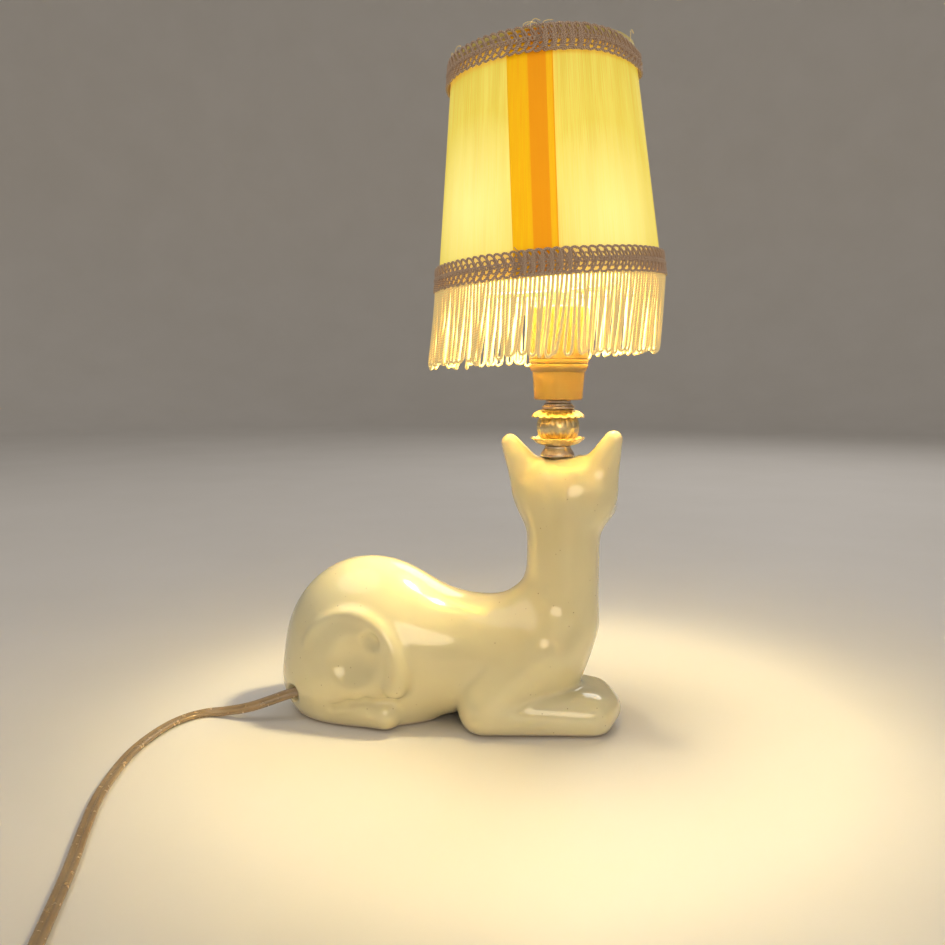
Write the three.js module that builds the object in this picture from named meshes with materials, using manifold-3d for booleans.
// Table lamp: a glazed ceramic reclining cat carries a fluted brass stack, a small lampholder
// with a candle bulb, and a tapered fabric shade that clips on the bulb.
// Millimetres, +Z up. The lamp's vertical axis is X = Y = 0 and it stands on Z = 0.
// The cat lies along X with its rump at -X; its back is towards -Y and its face towards +Y.
import * as THREE from 'three';
import { mergeVertices } from 'three/addons/utils/BufferGeometryUtils.js';
import Module from 'manifold-3d';

const wasm = await Module();
wasm.setup();

// ---- driving dimensions -------------------------------------------------------------------
const WALL = 4.6;            // thickness of the slip-cast shell
const SEAT_Z = 134.2;        // flat seat on the head for the brass stack
const NIPPLE_R = 4.85;       // M10 lamp nipple
const BORE_R = 5.3;          // clearance bore of everything threaded on the nipple
const GAP = 0.3;             // air between neighbouring faces
const HOLE = [-130.7, -19.8, 14.0]; // where the flex leaves the rump
const HOLE_DIR = [-0.86, -0.5, -0.1];
const BULB_Z = 190.8;        // bottom of the bulb's foot contact
const PIVOT_Z = 262;         // shade's tilt axis on the bulb clip
const SHADE_BASE = [-5.2, 1.8, 216.6]; // centre of the shade's bottom edge
const SHADE_AXIS = [-0.0370, -0.0200, 1]; // the shade sits a little crooked on its clip
const SHADE_SKEW = 0.03;     // and both its rims rise a little towards +X
const SHADE_H = 104.4;       // slant-axis height of the fabric cone
const SHADE_RB = 53.8;       // outer radius at the bottom edge
const SHADE_RT = 42.6;       // outer radius at the top edge
const CLOTH = 0.7;           // fabric on its stiff liner
const FRINGE = 35.5;         // visible drop of the loop fringe
const FLEX_W = 5.2, FLEX_T = 2.7; // flat two-core flex
const COIL = [-79.7, -295.3], COIL_R = 28; // neat coil of the spare flex

// ---- small vector and mesh helpers --------------------------------------------------------
const V = (x, y, z) => new THREE.Vector3(x, y, z);
const V2 = (x, y) => new THREE.Vector2(x, y);

function clean(geo) {
  let g = geo.clone();
  for (const name of Object.keys(g.attributes)) if (name !== 'position') g.deleteAttribute(name);
  g = mergeVertices(g, 1e-4);
  const p = g.attributes.position.array, src = g.index.array, tri = [];
  for (let i = 0; i < src.length; i += 3) {
    const [a, b, c] = [src[i], src[i + 1], src[i + 2]];
    if (a !== b && b !== c && c !== a) tri.push(a, b, c);
  }
  let vol = 0;
  for (let i = 0; i < tri.length; i += 3) {
    const [a, b, c] = [tri[i] * 3, tri[i + 1] * 3, tri[i + 2] * 3];
    vol += p[a] * (p[b + 1] * p[c + 2] - p[b + 2] * p[c + 1])
      - p[a + 1] * (p[b] * p[c + 2] - p[b + 2] * p[c])
      + p[a + 2] * (p[b] * p[c + 1] - p[b + 1] * p[c]);
  }
  if (vol < 0) for (let i = 0; i < tri.length; i += 3) [tri[i + 1], tri[i + 2]] = [tri[i + 2], tri[i + 1]];
  g.setIndex(tri);
  return g;
}

function toManifold(geo) {
  const g = clean(geo);
  return new wasm.Manifold(new wasm.Mesh({
    numProp: 3, vertProperties: Float32Array.from(g.attributes.position.array),
    triVerts: Uint32Array.from(g.index.array) }));
}

function fromManifold(m) {
  const r = m.getMesh(), g = new THREE.BufferGeometry();
  g.setAttribute('position', new THREE.BufferAttribute(Float32Array.from(r.vertProperties), 3));
  g.setIndex([...r.triVerts]);
  return g;
}

const join = (...geos) => fromManifold(geos.map(toManifold).reduce((a, b) => a.add(b)));
const cut = (geo, ...tools) => fromManifold(tools.map(toManifold).reduce((a, b) => a.subtract(b), toManifold(geo)));

// profile of [radius, height] pairs turned about the lamp's axis; closed profiles give rings
function turn(profile, seg = 20, x = 0, y = 0) {
  const g = new THREE.LatheGeometry(profile.map(([r, z]) => V2(r, z)), seg);
  g.rotateX(Math.PI / 2);
  g.translate(x, y, 0);
  return g;
}
const ring = (profile, seg, x, y) => turn([...profile, profile[0]], seg, x, y);
const cylinder = (r, z0, z1, seg = 18, x = 0, y = 0) => turn([[0, z0], [r, z0], [r, z1], [0, z1]], seg, x, y);

// shallow flutes round a turned piece; weight(z) fades them out towards plain edges
function fluted(geo, count, depth, weight) {
  const p = geo.attributes.position;
  for (let i = 0; i < p.count; i++) {
    const x = p.getX(i), y = p.getY(i), k = 1 + depth * weight(p.getZ(i), Math.hypot(x, y)) * Math.cos(count * Math.atan2(y, x));
    p.setXY(i, x * k, y * k);
  }
  return geo;
}

// round bar along points
function wire(points, r, steps, sides = 8) {
  const shape = new THREE.Shape(Array.from({ length: sides }, (_, i) => {
    const a = (2 * Math.PI * i) / sides;
    return V2(r * Math.cos(a), r * Math.sin(a));
  }));
  const path = new THREE.CatmullRomCurve3(points.map((q) => V(...q)));
  return new THREE.ExtrudeGeometry(shape, { steps, extrudePath: path, bevelEnabled: false });
}

// flat flex: a rounded section swept along points, its wide side square to 'side' vectors
function flex(points, sides, steps) {
  const path = new THREE.CatmullRomCurve3(points.map((q) => V(...q)));
  const lie = new THREE.CatmullRomCurve3(sides.map((q) => V(...q)));
  const n = 8, pos = [], tri = [];
  for (let i = 0; i <= steps; i++) {
    const t = i / steps, c = path.getPoint(t), f = path.getTangent(t), up = lie.getPoint(t);
    c.z = Math.max(c.z, FLEX_T / 2 + 0.15);
    const wide = V().crossVectors(f, up).normalize(), thin = V().crossVectors(wide, f).normalize();
    for (let k = 0; k < n; k++) {
      const a = (2 * Math.PI * k) / n, ca = Math.cos(a), sa = Math.sin(a);
      const w = (FLEX_W / 2) * Math.sign(ca) * Math.abs(ca) ** 0.8, h = (FLEX_T / 2) * Math.sign(sa) * Math.abs(sa) ** 0.7;
      pos.push(c.x + wide.x * w + thin.x * h, c.y + wide.y * w + thin.y * h, c.z + wide.z * w + thin.z * h);
    }
  }
  for (let i = 0; i < steps; i++) for (let k = 0; k < n; k++) {
    const a = i * n + k, b = i * n + ((k + 1) % n), c = a + n, d = b + n;
    tri.push(a, b, d, a, d, c);
  }
  for (let k = 1; k < n - 1; k++) {
    tri.push(0, k + 1, k);
    tri.push(steps * n, steps * n + k, steps * n + k + 1);
  }
  const g = new THREE.BufferGeometry();
  g.setAttribute('position', new THREE.Float32BufferAttribute(pos, 3));
  g.setIndex(tri);
  return g;
}

// ---- the cat: a blended solid described by its distance field -------------------------------
function ellipsoid(p, c, r) {
  const x = p[0] - c[0], y = p[1] - c[1], z = p[2] - c[2];
  const k0 = Math.hypot(x / r[0], y / r[1], z / r[2]);
  const k1 = Math.hypot(x / r[0] ** 2, y / r[1] ** 2, z / r[2] ** 2);
  return k1 < 1e-6 ? -Math.min(...r) : (k0 * (k0 - 1)) / k1;
}
function limb(p, a, b, r1, r2) {
  const ba = [b[0] - a[0], b[1] - a[1], b[2] - a[2]], pa = [p[0] - a[0], p[1] - a[1], p[2] - a[2]];
  const l2 = ba[0] ** 2 + ba[1] ** 2 + ba[2] ** 2, rr = r1 - r2, a2 = l2 - rr * rr;
  const y = pa[0] * ba[0] + pa[1] * ba[1] + pa[2] * ba[2], z = y - l2;
  const x2 = (pa[0] * l2 - ba[0] * y) ** 2 + (pa[1] * l2 - ba[1] * y) ** 2 + (pa[2] * l2 - ba[2] * y) ** 2;
  const y2 = y * y * l2, z2 = z * z * l2, k = Math.sign(rr) * rr * rr * x2;
  if (Math.sign(z) * a2 * z2 > k) return Math.sqrt(x2 + z2) / l2 - r2;
  if (Math.sign(y) * a2 * y2 < k) return Math.sqrt(x2 + y2) / l2 - r1;
  return (Math.sqrt((x2 * a2) / l2) + y * rr) / l2 - r1;
}
const blend = (a, b, k) => {
  const h = Math.max(k - Math.abs(a - b), 0) / k;
  return Math.min(a, b) - (h * h * h * k) / 6;
};
const carve = (a, b, k) => -blend(-a, b, k);

const HEAD = [3.8, 0, 116], HEAD_TURN = THREE.MathUtils.degToRad(13), HEAD_ROLL = THREE.MathUtils.degToRad(3.2);
function inHead(p) {
  const x = p[0] - HEAD[0], y = p[1] - HEAD[1], w = p[2] - HEAD[2];
  const u = x * Math.cos(HEAD_TURN) - y * Math.sin(HEAD_TURN), v = x * Math.sin(HEAD_TURN) + y * Math.cos(HEAD_TURN);
  return [u * Math.cos(HEAD_ROLL) + w * Math.sin(HEAD_ROLL), v, w * Math.cos(HEAD_ROLL) - u * Math.sin(HEAD_ROLL)];
}
// raised roll along the top of each thigh, thicker at its front end
function thighRoll(p) {
  const q = [p[0] + 97, p[1] + 26.5, p[2] - 31], lo = THREE.MathUtils.degToRad(-15), hi = THREE.MathUtils.degToRad(160);
  let a = Math.atan2(q[2] / 25, q[0] / 22);
  if (a < -Math.PI / 2) a += 2 * Math.PI;
  a = Math.min(Math.max(a, lo), hi);
  const t = (a - lo) / (hi - lo);
  const c = [22 * Math.cos(a) - 4 * t, -2.8 + 7 * t ** 1.4, 25 * Math.sin(a) + 2 * t];
  return Math.hypot(q[0] - c[0], q[1] - c[1], q[2] - c[2]) - (6.5 - 4.7 * t);
}
// trunk, neck and head without limbs: the shape that the casting is hollow in
function trunk(p) {
  let d = ellipsoid(p, [-94.5, 0, 31], [46.5, 31, 50.5]);
  d = blend(d, limb(p, [-78, 0, 36], [-8, 0, 37], 28, 26), 20);
  d = blend(d, limb(p, [0, 0, 46], [3.4, 0, 112], 19, 18), 16);
  return blend(d, ellipsoid(inHead(p), [0, 0, 0], [24, 18, 19]), 9);
}
function cat(p) {
  const m = [p[0], -Math.abs(p[1]), p[2]];
  // rump, back, belly, chest
  let d = ellipsoid(p, [-94.5, 0, 31], [46.5, 31, 50.5]);
  d = blend(d, ellipsoid(p, [-104, 0, 17.5], [38, 29, 28]), 10);
  d = blend(d, limb(p, [-78, 0, 37], [-22, 0, 37], 27, 26.5), 24);
  d = blend(d, ellipsoid(p, [-60, 0, 25], [42, 25, 22.6]), 8);
  d = blend(d, ellipsoid(p, [-8, 0, 40], [25, 25, 31]), 12);
  // neck
  d = blend(d, limb(p, [3, 0, 54], [3.4, 0, 112], 18, 18), 16);
  // thighs with their roll, hollow and dimple, then the hind feet
  d = blend(d, ellipsoid(m, [-96, -18, 30], [24, 15, 30]), 5);
  d = carve(d, ellipsoid(m, [-97, -40, 37], [17.5, 12, 16]), 4);
  d = blend(d, thighRoll(m), 5);
  d = carve(d, ellipsoid(m, [-88.6, -36.5, 45.3], [7, 8.5, 7]), 2);
  d = blend(d, limb(m, [-114, -19, 7], [-82.5, -23.5, 7.5], 6, 8.5), 4);
  // upper arms, forearms, paws
  d = blend(d, limb(m, [-6, -13, 42], [-31, -17, 16], 17, 15), 8);
  d = blend(d, limb(m, [-33, -19.7, 11], [18, -12, 8.4], 13, 11), 5);
  d = blend(d, ellipsoid(p, [13.5, 0, 8.2], [19.6, 20, 9.6]), 9);
  // tail laid round the far side
  d = blend(d, limb(p, [-122, 16, 12], [-100, 29, 8.5], 9, 8), 5);
  d = blend(d, limb(p, [-100, 29, 8.5], [-66, 30, 8], 8, 7), 9);
  d = blend(d, limb(p, [-66, 30, 8], [-48, 25.5, 7.5], 7, 6), 9);
  // head with cheeks, muzzle, eyes and ears
  const h = inHead(p), s = [Math.abs(h[0]), h[1], h[2]];
  let g = ellipsoid(h, [0, 0, -1], [25, 18, 21]);
  g = blend(g, ellipsoid(h, [-1, 8, -6], [24.7, 14, 14]), 7);
  g = blend(g, limb(h, [0, 14, -8], [0, 22, -11], 11, 7), 7);
  const e = [s[0], 1.4 * s[1], s[2]];
  g = blend(g, limb(e, [15, -2, 4], [26, -5, 26], 11.5, 4.5) / 1.15, 7);
  d = blend(d, g, 9);
  // saddle between the ears, then the floor
  d = carve(d, ellipsoid(h, [-2, -2, 36.9], [17.5, 40, 18.7]), 4);
  return carve(d, p[2], 2.5);
}

// closed mesh of field = 0, its points drawn onto the surface; the grid is shifted a little
// when two folds of the surface would otherwise share an edge
function mesh(field, lo, hi, h) {
  for (let shift = 0; shift < 1; shift += 0.09) {
    const g = netOf(field, lo.map((v) => v - shift * h), hi, h), used = new Map(), t = g.index.array;
    for (let i = 0; i < t.length; i += 3) for (let k = 0; k < 3; k++) {
      const a = t[i + k], b = t[i + ((k + 1) % 3)], key = `${Math.min(a, b)},${Math.max(a, b)}`;
      used.set(key, (used.get(key) ?? 0) + 1);
    }
    if ([...used.values()].every((n) => n === 2)) return g;
  }
  throw new Error('no grid gives a closed surface');
}
function netOf(field, lo, hi, h) {
  const n = lo.map((v, i) => Math.ceil((hi[i] - v) / h) + 1), at = (i, j, k) => (i * n[1] + j) * n[2] + k;
  const val = new Float64Array(n[0] * n[1] * n[2]), id = new Int32Array(val.length).fill(-1), pos = [], tri = [];
  const grid = (i, j, k) => [lo[0] + i * h, lo[1] + j * h, lo[2] + k * h];
  for (let i = 0; i < n[0]; i++) for (let j = 0; j < n[1]; j++) for (let k = 0; k < n[2]; k++) val[at(i, j, k)] = field(grid(i, j, k));
  const slope = (p) => [0, 1, 2].map((i) => {
    const a = [...p], b = [...p];
    a[i] += 0.2; b[i] -= 0.2;
    return (field(a) - field(b)) / 0.4;
  });
  for (let i = 0; i < n[0] - 1; i++) for (let j = 0; j < n[1] - 1; j++) for (let k = 0; k < n[2] - 1; k++) {
    const sum = [0, 0, 0];
    let hits = 0;
    for (let a = 0; a < 3; a++) for (let u = 0; u < 2; u++) for (let v = 0; v < 2; v++) {
      const s = [0, 0, 0];
      s[(a + 1) % 3] = u; s[(a + 2) % 3] = v;
      const t = [...s];
      t[a] = 1;
      const A = val[at(i + s[0], j + s[1], k + s[2])], B = val[at(i + t[0], j + t[1], k + t[2])];
      if ((A < 0) === (B < 0)) continue;
      const f = A / (A - B);
      for (let c = 0; c < 3; c++) sum[c] += s[c] + f * (t[c] - s[c]);
      hits++;
    }
    if (!hits) continue;
    let p = [i, j, k].map((v, c) => lo[c] + h * (v + sum[c] / hits));
    for (let r = 0; r < 3; r++) {
      const g = slope(p), q = g[0] ** 2 + g[1] ** 2 + g[2] ** 2, f = field(p);
      const step = Math.max(Math.min(f / Math.max(q, 0.2), h * 0.3), -h * 0.3);
      p = p.map((v, c) => v - g[c] * step);
    }
    id[at(i, j, k)] = pos.length / 3;
    pos.push(...p);
  }
  const gap = (a, b) => Math.hypot(...[0, 1, 2].map((c) => pos[3 * a + c] - pos[3 * b + c]));
  for (let a = 0; a < 3; a++) {
    const b = (a + 1) % 3, c = (a + 2) % 3;
    for (let i = 0; i < n[0]; i++) for (let j = 0; j < n[1]; j++) for (let k = 0; k < n[2]; k++) {
      const s = [i, j, k];
      if (s[a] >= n[a] - 1 || s[b] < 1 || s[c] < 1) continue;
      const t = [...s];
      t[a]++;
      const inside = val[at(...s)] < 0;
      if (inside === val[at(...t)] < 0) continue;
      const quad = [[0, 0], [1, 0], [1, 1], [0, 1]].map(([u, v]) => {
        const r = [...s];
        r[b] -= u; r[c] -= v;
        return id[at(...r)];
      });
      if (!inside) quad.reverse();
      const [q0, q1, q2, q3] = quad;
      if (gap(q0, q2) < gap(q1, q3)) tri.push(q0, q1, q2, q0, q2, q3);
      else tri.push(q1, q2, q3, q1, q3, q0);
    }
  }
  const g = new THREE.BufferGeometry();
  g.setAttribute('position', new THREE.Float32BufferAttribute(pos, 3));
  g.setIndex(tri);
  return g;
}

// ---- assembly -------------------------------------------------------------------------------
const group = new THREE.Group();
function add(name, geo, color, opts = {}) {
  const g = clean(geo);
  g.computeVertexNormals();
  const m = new THREE.Mesh(g, new THREE.MeshStandardMaterial({ color, roughness: 0.5, ...opts }));
  m.name = name;
  m.material.name = name;
  group.add(m);
}
const BRASS = { metalness: 1, roughness: 0.3 }, STEEL = { metalness: 1, roughness: 0.4 };

// ceramic shell: hollow, with a flat seat, a nipple hole, a flex hole and an open base
{
  const skin = mesh(cat, [-146, -42, -4], [42, 42, 154], 6.4);
  const hollow = (p) => carve(carve(Math.max(trunk(p), cat(p)) + WALL, 128.8 - p[2], 2), p[2] - 5, 3);
  const core = mesh(hollow, [-146, -42, -4], [42, 42, 154], 10);
  const seat = cylinder(10, SEAT_Z, SEAT_Z + 20, 20);
  const bore = cylinder(BORE_R + 0.2, 118, SEAT_Z + 1, 20);
  const room = cylinder(9.4, 112, 129.4, 20);
  const d = V(...HOLE_DIR).normalize(), flexHole = new THREE.CylinderGeometry(4.3, 4.3, 26, 14);
  flexHole.applyQuaternion(new THREE.Quaternion().setFromUnitVectors(V(0, 1, 0), d));
  flexHole.translate(HOLE[0], HOLE[1], HOLE[2]);
  const base = new THREE.CylinderGeometry(1, 1, 30, 24);
  base.rotateX(Math.PI / 2);
  base.scale(30, 11, 1);
  base.translate(-58, 0, 0);
  add('ceramic_body', cut(skin, core, seat, bore, room, flexHole, base), 0xe9e0c4, { roughness: 0.15 });
}

// fixing hardware inside the head
add('seat_washer', ring([[BORE_R, 127.8], [8.9, 127.8], [8.9, 129.1], [BORE_R, 129.1]]), 0xb8b8b8, STEEL);
{
  const hex = new THREE.CylinderGeometry(8.7, 8.7, 5, 6);
  hex.rotateX(Math.PI / 2);
  hex.translate(0, 0, 125);
  add('seat_nut', cut(hex, cylinder(BORE_R, 120, 130)), 0xb8b8b8, STEEL);
}
add('threaded_nipple', ring([[3.6, 119], [NIPPLE_R, 119], [NIPPLE_R, 167], [3.6, 167]]), 0xb99a55, BRASS);

// brass stack on the head
add('base_ring', ring([[BORE_R, 134.5], [8.1, 134.5], [8.2, 135.6], [6.9, 138], [6.3, 138.6], [6.3, 139.6], [BORE_R, 139.6]]), 0xc79a3f, BRASS);
add('lower_cup', fluted(ring([[BORE_R, 139.9], [6.6, 139.9], [9.6, 140.9], [13.1, 143.3], [12.4, 143.7],
  [9.2, 141.9], [BORE_R, 141.1]], 32), 16, 0.035, (z, r) => (r > 7 ? 1 : 0)), 0xd8a93e, BRASS);
add('fluted_ball', fluted(ring([[BORE_R, 141.5], [6.6, 142], [9.4, 144.6], [10.5, 148.6], [10.1, 151.4],
  [8.6, 153.9], [7.2, 154.8], [BORE_R, 154.8]], 32), 16, 0.03, (z, r) => (r > 6 ? 1 : 0)), 0xd8a93e, BRASS);
add('upper_cup', fluted(ring([[BORE_R, 155.7], [7.8, 155.5], [12.5, 153.9], [13.0, 154.5], [9.6, 156.5],
  [7.6, 157.5], [BORE_R, 157.5]], 32), 16, 0.035, (z, r) => (r > 8 ? 1 : 0)), 0xe0b64e, BRASS);
add('top_ring', ring([[BORE_R, 157.8], [7.9, 157.8], [7.9, 159], [6.9, 159.3], [6.8, 160.3], [BORE_R, 160.3]]), 0xc79a3f, BRASS);
add('lock_nut', ring([[BORE_R, 160.6], [6.1, 160.6], [6.1, 161.9], [BORE_R, 161.9]]), 0x6b5a3a, BRASS);

// lampholder: cap, skirt, insert, screw shell and contacts
add('holder_cap', ring([[BORE_R, 162.2], [11.6, 162.2], [12.7, 176], [13.4, 176.6], [14.2, 178], [14.2, 179.3],
  [11.9, 179.3], [11.2, 176], [10.2, 163.8], [BORE_R, 163.8]], 28), 0xd9a063);
add('holder_skirt', ring([[13.1, 179.6], [14.2, 179.6], [14.3, 205.6], [13.8, 206.4], [12.4, 206.4], [12.2, 205.2],
  [13.1, 204.6]], 28), 0xe0a766);
add('holder_insert', ring([[2.2, 180.6], [12.7, 180.6], [12.7, 188.4], [8.2, 188.4], [8.2, 186], [2.2, 186]], 28), 0xe6dcc8);
add('screw_shell', ring([[7.25, 188.9], [7.6, 188.9], [7.75, 191], [7.55, 192.4], [7.75, 193.8], [7.55, 195.2],
  [7.75, 196.6], [7.55, 198], [7.75, 199.4], [7.6, 203.4], [7.25, 203.4]], 24), 0xd2ac5c, BRASS);
add('centre_contact', join(cylinder(1.6, 186.4, 190.2, 16), cylinder(3, 189.2, 190.4, 16)), 0xc9a24e, BRASS);
for (const [name, x] of [['terminal_screw_a', 7.5], ['terminal_screw_b', -7.5]]) {
  add(name, turn([[0, 177.4], [1.7, 177.4], [2.1, 178.1], [2.1, 179.2], [1.2, 179.2], [1.2, 180.3], [0, 180.3]], 14, x), 0xb8b8b8, STEEL);
}

// candle bulb
add('bulb_foot', turn([[0, BULB_Z], [1.7, BULB_Z], [2.4, BULB_Z + 0.7], [2.4, BULB_Z + 1.3], [0, BULB_Z + 1.3]], 18), 0xc0c0bc, STEEL);
add('bulb_insulator', turn([[0, 192.4], [2.9, 192.4], [5.9, 194.6], [6.1, 195.2], [0, 195.2]], 20), 0x1b1b1e);
add('bulb_cap', ring([[5.7, 195.5], [6.3, 195.5], [6.9, 196.8], [6.55, 198.2], [6.9, 199.6], [6.55, 201], [6.9, 202.4],
  [6.55, 203.8], [6.9, 205.2], [6.75, 207], [6.75, 213.5], [6.4, 213.5], [6.3, 197]], 24), 0xd5cfb8, STEEL);
const GLASS = [[5.7, 212.5], [7.2, 217], [13.2, 225.5], [16.8, 234.5], [17.5, 241], [16.6, 250], [13.2, 263.5],
  [7.6, 278.5], [3.2, 288], [0, 290.3]];
add('bulb_glass', turn([[5, 203], [5.7, 203], ...GLASS, [0, 289], [2.6, 286.6], [6.6, 278], [12.3, 263], [15.8, 249.8],
  [16.6, 241], [15.9, 234.7], [12.4, 226], [6.4, 217.4], [4.9, 212.5], [5, 203]], 24),
0xf6f1e0, { transparent: true, opacity: 0.4, roughness: 0.05 });
add('bulb_stem', turn([[0, 203.6], [4.2, 203.6], [3.4, 208], [2.1, 214], [1.9, 228], [2.4, 233], [0, 233.6]], 14),
  0xe8e8e4, { transparent: true, opacity: 0.5 });
add('filament', wire([[-6, 0, 236.5], [-7.4, 0, 246], [-5.2, 0.6, 254], [0, 0, 257], [5.2, 0.6, 254], [7.4, 0, 246], [6, 0, 236.5]],
  0.45, 16, 5), 0xffd27a, STEEL);

// bulb clip: a wire ring with two spring loops that follow the glass, and a pin each side
{
  const halo = new THREE.TorusGeometry(20.2, 0.9, 6, 28);
  halo.translate(0, 0, PIVOT_Z);
  const loop = (s) => wire([[s * 19.4, -6.4, PIVOT_Z], [s * 18.9, -6.2, PIVOT_Z - 8], [s * 18.7, -5.8, 243], [s * 18.6, -5, 233],
    [s * 18.6, -3, 228.4], [s * 18.6, 0, 226.8], [s * 18.6, 3, 228.4], [s * 18.6, 5, 233], [s * 18.7, 5.8, 243],
    [s * 18.9, 6.2, PIVOT_Z - 8], [s * 19.4, 6.4, PIVOT_Z]], 0.75, 22, 5);
  const pin = (s) => {
    const g = new THREE.CylinderGeometry(0.8, 0.8, 6.4, 10);
    g.translate(0, s * 23.2, PIVOT_Z);
    return g;
  };
  add('bulb_clip', join(halo, loop(1), loop(-1), pin(1), pin(-1)), 0xc9a95c, BRASS);
}

// shade frame and cover, built in the shade's own leaning axes
const N = V(...SHADE_AXIS).normalize(), EX = V(1, 0, 0).addScaledVector(N, -N.x).normalize(), EY = V().crossVectors(N, EX);
const place = new THREE.Matrix4().makeBasis(EX.clone().addScaledVector(N, SHADE_SKEW), EY, N).setPosition(...SHADE_BASE);
const rim = (s) => SHADE_RB + ((SHADE_RT - SHADE_RB) * s) / SHADE_H;
const onShade = (g) => g.applyMatrix4(place);
const local = (r, deg, s) => {
  const a = THREE.MathUtils.degToRad(deg);
  return V(r * Math.cos(a), r * Math.sin(a), s).applyMatrix4(place).toArray();
};
const cone = (s0, s1, off0, off1, seg = 44) => onShade(ring([[rim(s0) + off0, s0], [rim(s0) + off1, s0],
  [rim(s1) + off1, s1], [rim(s1) + off0, s1]], seg));
for (const [name, s] of [['frame_bottom_ring', 1.6], ['frame_top_ring', SHADE_H - 1.6]]) {
  const g = new THREE.TorusGeometry(rim(s) - CLOTH - 1.5, 1.1, 6, 40);
  g.translate(0, 0, s);
  add(name, onShade(g), 0xc8c4ba, STEEL);
}
[45, 135, 225, 315].forEach((deg, i) => {
  const s0 = 3.1, s1 = SHADE_H - 3.1;
  add(`frame_strut_${i + 1}`, wire([local(rim(s0) - 2.1, deg, s0), local(rim(s1) - 2.1, deg, s1)], 0.9, 2, 8), 0xc8c4ba, STEEL);
});
// one bowed arm each side runs between two struts and holds the clip's pin in an eye
for (const [name, side, d0, d1] of [['frame_arm_back', 1, 45, 135], ['frame_arm_front', -1, 315, 225]]) {
  const s = (PIVOT_Z - SHADE_BASE[2]) / N.z, r = rim(s) - 2.1 - 0.9 - GAP - 0.95;
  const a = local(r, d0, s), b = local(r, d1, s), y = side * 23.6;
  const eye = new THREE.TorusGeometry(1.95, 0.75, 6, 14);
  eye.rotateX(Math.PI / 2);
  eye.translate(0, y, PIVOT_Z);
  const z = PIVOT_Z + 2.3;
  add(name, join(wire([a, [a[0] * 0.72, a[1] * 0.8, (a[2] + z) / 2], [7, y + side * 0.3, z], [0, y, z], [-7, y + side * 0.3, z],
    [b[0] * 0.72, b[1] * 0.8, (b[2] + z) / 2], b], 0.75, 16, 6), eye), 0xc8c4ba, STEEL);
}
add('shade_fabric', cone(0, SHADE_H, -CLOTH, 0), 0xf3e08a, { transparent: true, opacity: 0.9 });
{
  const a0 = THREE.MathUtils.degToRad(-91.4), half = 9.8, k = [0.3, 0.75], pos = [], tri = [], cols = 4, s = [1, SHADE_H - 1];
  for (const q of s) for (const off of k) for (let i = 0; i <= cols; i++) {
    const r = rim(q) + off, a = a0 + (half / r) * ((2 * i) / cols - 1);
    pos.push(...V(r * Math.cos(a), r * Math.sin(a), q).applyMatrix4(place).toArray());
  }
  const w = cols + 1, at = (q, o, i) => (q * 2 + o) * w + i;
  const quad = (a, b, c, d) => tri.push(a, b, c, a, c, d);
  for (let i = 0; i < cols; i++) {
    quad(at(0, 1, i), at(0, 1, i + 1), at(1, 1, i + 1), at(1, 1, i));
    quad(at(0, 0, i + 1), at(0, 0, i), at(1, 0, i), at(1, 0, i + 1));
    quad(at(0, 0, i), at(0, 0, i + 1), at(0, 1, i + 1), at(0, 1, i));
    quad(at(1, 1, i), at(1, 1, i + 1), at(1, 0, i + 1), at(1, 0, i));
  }
  quad(at(0, 0, 0), at(0, 1, 0), at(1, 1, 0), at(1, 0, 0));
  quad(at(0, 1, cols), at(0, 0, cols), at(1, 0, cols), at(1, 1, cols));
  const g = new THREE.BufferGeometry();
  g.setAttribute('position', new THREE.Float32BufferAttribute(pos, 3));
  g.setIndex(tri);
  add('shade_stripe', g, 0xf0a020);
}
add('gimp_top', cone(SHADE_H - 11.5, SHADE_H + 0.6, 1.05, 2.6), 0x8d7a72);
add('gimp_bottom', cone(-0.6, 12, 1.05, 2.6), 0x8d7a72);
// fringe hangs straight down from the leaning rim
{
  const g = ring([[SHADE_RB + 0.4, -1], [SHADE_RB + 2.2, -1], [SHADE_RB + 2.2, -18], [SHADE_RB + 2.2, -1 - FRINGE],
    [SHADE_RB + 0.4, -1 - FRINGE], [SHADE_RB + 0.4, -18]], 44);
  const p = g.attributes.position;
  for (let i = 0; i < p.count; i++) {
    const top = V(p.getX(i), p.getY(i), -1).applyMatrix4(place);
    p.setXYZ(i, top.x, top.y, top.z + p.getZ(i) + 1);
  }
  add('fringe', g, 0xe9d9a4);
}

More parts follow.
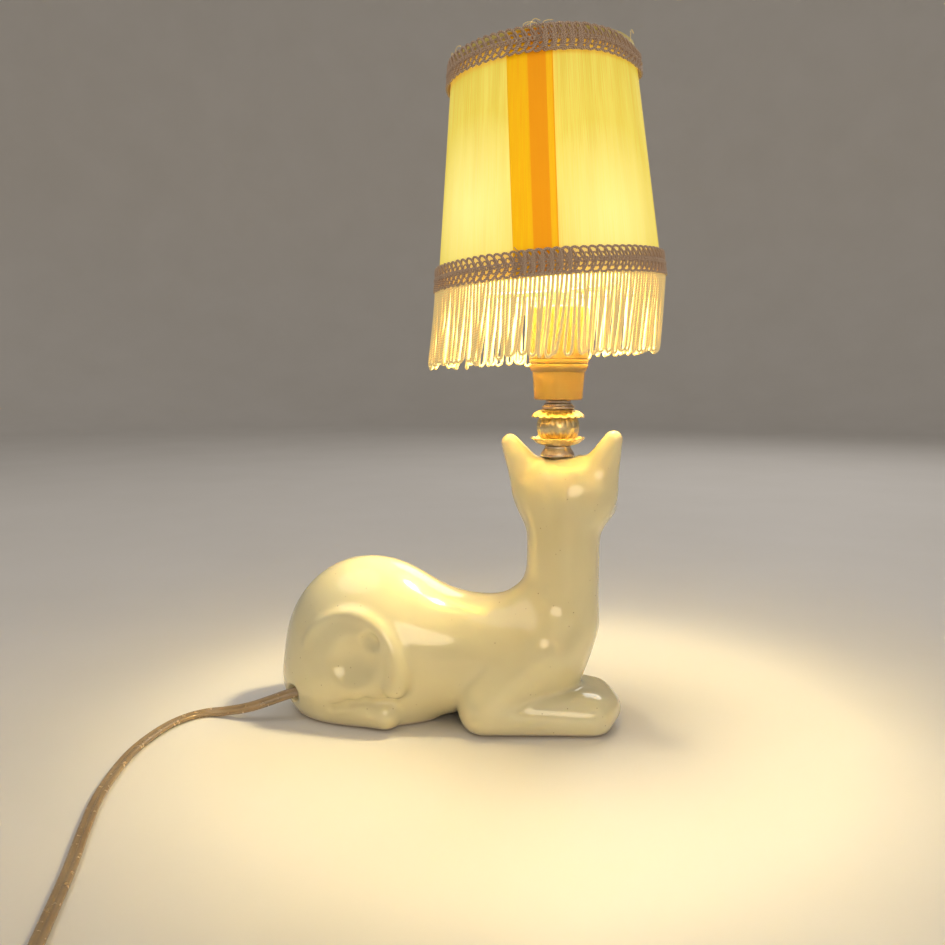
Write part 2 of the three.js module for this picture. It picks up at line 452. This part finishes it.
// flex: from inside the rump to the in-line switch, on to the coil, and out to the plug
const D = V(0.36, -0.933, 0).normalize(), E0 = [-141.8, -212.1];
const ahead = (t, off = 0) => [E0[0] + D.x * t - D.y * off, E0[1] + D.y * t + D.x * off];
const FLOOR = FLEX_T / 2 + 0.15;
add('flex_lead', flex([[-116, -13.5, 16.5], HOLE, [-151, -25, 7.4], [-166, -23, 3.2], [-178.5, -24.5, FLOOR], [-187, -37, FLOOR],
  [-190, -57, FLOOR], [-188.6, -80, FLOOR], [-181, -112, FLOOR], [-170.3, -140, FLOOR], [-158.5, -168, FLOOR],
  [...E0, FLOOR], [...ahead(9.5), 4.4]],
[[0.3, -0.8, 0.3], [0, -0.8, 0.6], [0, -0.4, 1], [0, 0, 1], [0, 0, 1], [0, 0, 1], [0, 0, 1]], 34), 0x8a6b45);
{
  const [x, y] = ahead(10 + 28), turnZ = Math.atan2(D.y, D.x);
  const block = (l, w, z0, z1) => {
    const sh = new THREE.Shape(), a = l / 2, b = w / 2, c = 5;
    sh.moveTo(-a + c, -b).lineTo(a - c, -b).quadraticCurveTo(a, -b, a, -b + c).lineTo(a, b - c).quadraticCurveTo(a, b, a - c, b)
      .lineTo(-a + c, b).quadraticCurveTo(-a, b, -a, b - c).lineTo(-a, -b + c).quadraticCurveTo(-a, -b, -a + c, -b);
    const g = new THREE.ExtrudeGeometry(sh, { depth: z1 - z0, bevelEnabled: false, curveSegments: 3 });
    g.translate(0, 0, z0);
    return g;
  };
  const set = (g) => g.rotateZ(turnZ).translate(x, y, 0);
  const slot = new THREE.BoxGeometry(16.4, 8.8, 12);
  slot.translate(0, 0, 13.6);
  add('switch_base', set(block(55.4, 21, 0.15, 7)), 0x7d6a4f);
  add('switch_cover', set(cut(block(55.4, 21, 7.3, 14), slot)), 0x7d6a4f);
  const side = new THREE.Shape([[-6.6, 10.4], [-3.5, 8.6], [3.5, 8.6], [6.6, 10.4], [6.8, 13.4], [3.6, 13.9], [0, 15.2], [-3.6, 16.4], [-6.8, 17.2]]
    .map(([u, v]) => V2(u, v)));
  const tab = new THREE.ExtrudeGeometry(side, { depth: 7.8, bevelEnabled: false });
  tab.rotateX(Math.PI / 2);
  tab.translate(0, 3.9, 0);
  add('switch_rocker', set(tab), 0xe8dcc0);
}
{
  // the flex meets the coil's outer side just before its tangent point
  add('flex_to_coil', flex([[...ahead(66.4), 4.4], [...ahead(71.5), 4.6], [...ahead(77), 5]],
    [[0, 0, 1], [0, 0, 1], [0, 0, 1]], 4), 0x8a6b45);
  add('flex_coil', ring([[COIL_R - 5.7, 2.8], [COIL_R - 3.6, 1.35], [COIL_R + 3.6, 1.35], [COIL_R + 5.7, 2.8],
    [COIL_R + 5.7, 10.6], [COIL_R + 3.6, 12.1], [COIL_R - 3.6, 12.1], [COIL_R - 5.7, 10.6]], 32, ...COIL), 0x8a6b45);
}
add('flex_tail', flex([[COIL[0] + COIL_R + 3, COIL[1] + 18.9, 6.2], [COIL[0] + COIL_R + 3.2, COIL[1] + 25, 6.5],
  [COIL[0] + COIL_R + 3.4, COIL[1] + 31, 6.6]], [[0, 0, 1], [0, 0, 1], [0, 0, 1]], 4), 0x8a6b45);
{
  const y = COIL[1] - COIL_R, box = (w, lo, hi) => [[y - w, lo], [y + w, lo], [y + w, hi], [y - w, hi]].map(([u, v]) => V2(u, v));
  const loop = new THREE.Shape(box(6.9, 0.15, 13.3));
  loop.holes.push(new THREE.Path(box(6.0, 1.05, 12.4)));
  const g = new THREE.ExtrudeGeometry(loop, { depth: 6, bevelEnabled: false });
  g.applyMatrix4(new THREE.Matrix4().makeBasis(V(0, 1, 0), V(0, 0, 1), V(1, 0, 0)));
  g.translate(COIL[0] - 3, 0, 0);
  add('coil_tie', g, 0x5a4a36);
}
// flat two-pin plug beside the coil
{
  const x = COIL[0] + COIL_R + 3.4, y = COIL[1] + 31.4, z = 6.6;
  const sh = new THREE.Shape();
  sh.moveTo(-4.6, 0).lineTo(4.6, 0).lineTo(8.4, 9).lineTo(13, 17).lineTo(13, 30).lineTo(-13, 30).lineTo(-13, 17).lineTo(-8.4, 9).lineTo(-4.6, 0);
  const g = new THREE.ExtrudeGeometry(sh, { depth: 12.6, bevelEnabled: false });
  g.translate(x, y, 0.3);
  add('plug_body', g, 0x8a6b45);
  for (const [name, off] of [['plug_pin_a', -9.3], ['plug_pin_b', 9.3]]) {
    const pin = turn([[0, 0], [1.85, 0], [1.95, 0.4], [1.95, 18], [1.2, 19], [0, 19]], 12);
    pin.rotateX(-Math.PI / 2);
    pin.translate(x + off, y + 30.3, z);
    add(name, pin, 0xc8c8c4, STEEL);
  }
}

export default group;
